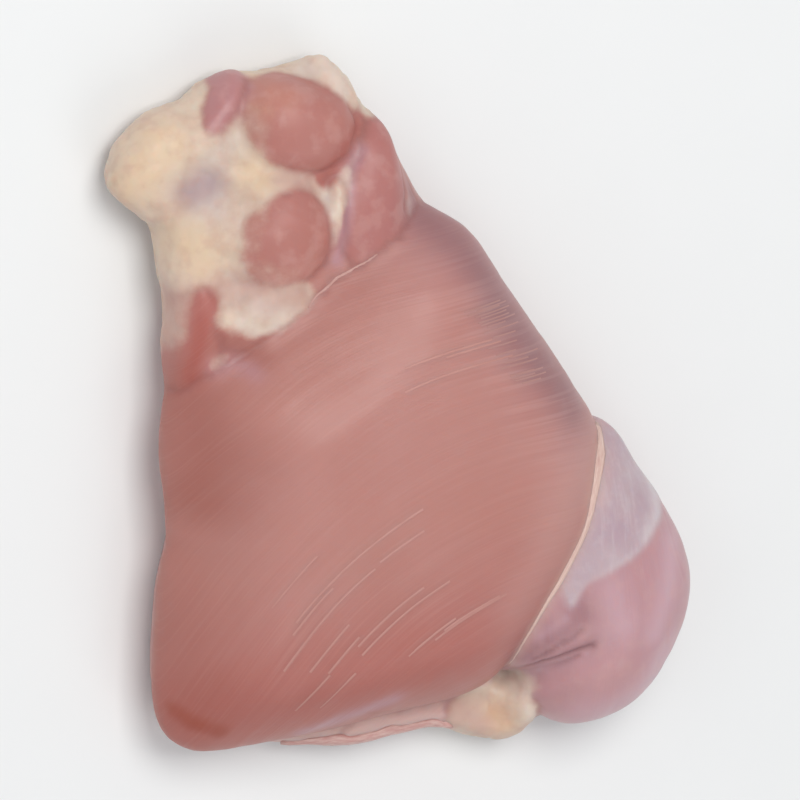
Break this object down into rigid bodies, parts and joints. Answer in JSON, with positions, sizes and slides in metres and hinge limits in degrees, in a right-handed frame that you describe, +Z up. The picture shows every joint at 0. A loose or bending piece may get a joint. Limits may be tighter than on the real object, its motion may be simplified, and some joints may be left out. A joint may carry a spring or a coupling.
{
  "type": "raw chicken thigh",
  "caption": "Boned, skinned raw chicken thigh: a broad flat muscle, a rounded lobe tucked under its edge, and fatty muscle ends at its narrow end, lying on a flat underside.",
  "frame": {"origin": "on the flat underside, under the middle of the main muscle, at the height of the surface that the thigh lies on", "axes": "+Y along the thigh towards its narrow, fatty end; +X across it towards the second muscle; +Z up, out of the outer side"},
  "size_m": [0.0926, 0.1068, 0.0261],
  "materials": {
    "meat": null,
    "fat": "raw poultry fat: cream, greasy satin, lumpy",
    "silver_skin": "thin connective tissue over the muscle: pearly, pale lilac, moist"
  },
  "bodies": {
    "root": {"thigh": "meat"}
  },
  "joints": []
}
